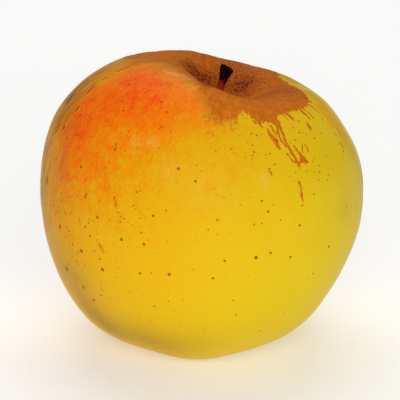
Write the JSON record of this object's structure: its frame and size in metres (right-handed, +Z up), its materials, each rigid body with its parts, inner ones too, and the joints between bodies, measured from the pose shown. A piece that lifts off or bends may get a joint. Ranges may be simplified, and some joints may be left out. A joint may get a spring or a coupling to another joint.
{
  "type": "apple",
  "caption": "Whole ripe apple standing upright, round with a leaning crown, its stalk in the cavity and the withered calyx in the basin below.",
  "frame": {"origin": "middle of the underside of the apple's box, on the surface it stands on", "axes": "+Z up along the fruit's height; +X towards the side that the crown and the stalk lean to; -Y towards the viewer of the picture"},
  "size_m": [0.0818, 0.0806, 0.0749],
  "materials": {
    "apple_skin": "waxy satin skin, golden yellow with a warm blush, russet and small dots",
    "stalk_wood": "dry dark red-brown stalk with a near-black top",
    "dry_calyx": "withered brown sepals, matt and papery"
  },
  "bodies": {
    "root": {"fruit": "apple_skin", "stalk": "stalk_wood", "dried_calyx": "dry_calyx"}
  },
  "joints": []
}
